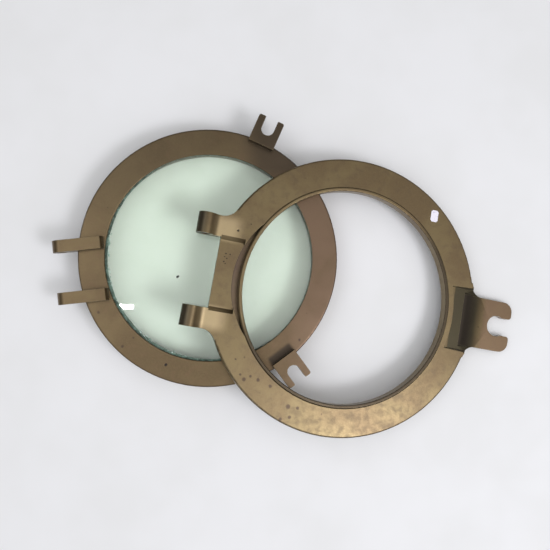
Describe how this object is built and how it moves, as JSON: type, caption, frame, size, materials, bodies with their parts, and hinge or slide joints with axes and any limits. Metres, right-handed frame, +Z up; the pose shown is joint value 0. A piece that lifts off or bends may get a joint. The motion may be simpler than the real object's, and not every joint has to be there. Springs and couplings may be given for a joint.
{
  "type": "porthole rings",
  "caption": "Pair of cast brass porthole rings: a glazed ring with hinge bars and two bolt forks, and an open ring with hinge barrels and one big fork leaning on it.",
  "frame": {"origin": "on the floor, under the middle of the pair's box", "axes": "+Z up, +X from the glazed ring towards the open ring's fork, +Y across"},
  "size_m": [0.5903, 0.3984, 0.0779],
  "materials": {
    "aged_brass": "aged, satin",
    "inner_brass": "dull, turned",
    "screw_brass": "dull",
    "pale_green_glass": "polished",
    "old_putty": "matt",
    "black_rubber": "matt",
    "label_paper": "matt"
  },
  "bodies": {
    "glazed_ring": {"glazed_ring_casting": "aged_brass", "glass_pane": "pale_green_glass", "glass_putty": "old_putty", "glass_gasket": "black_rubber", "glass_retaining_ring": "inner_brass", "retaining_screws": "screw_brass", "seal_ring": "black_rubber"},
    "open_ring": {"open_ring_casting": "aged_brass", "price_label": "label_paper"}
  },
  "joints": [
    {"name": "open_ring_lift", "type": "slide", "parent": "glazed_ring", "child": "open_ring", "axis": [0, 0, 1], "range_m": [0, 0.15]}
  ]
}
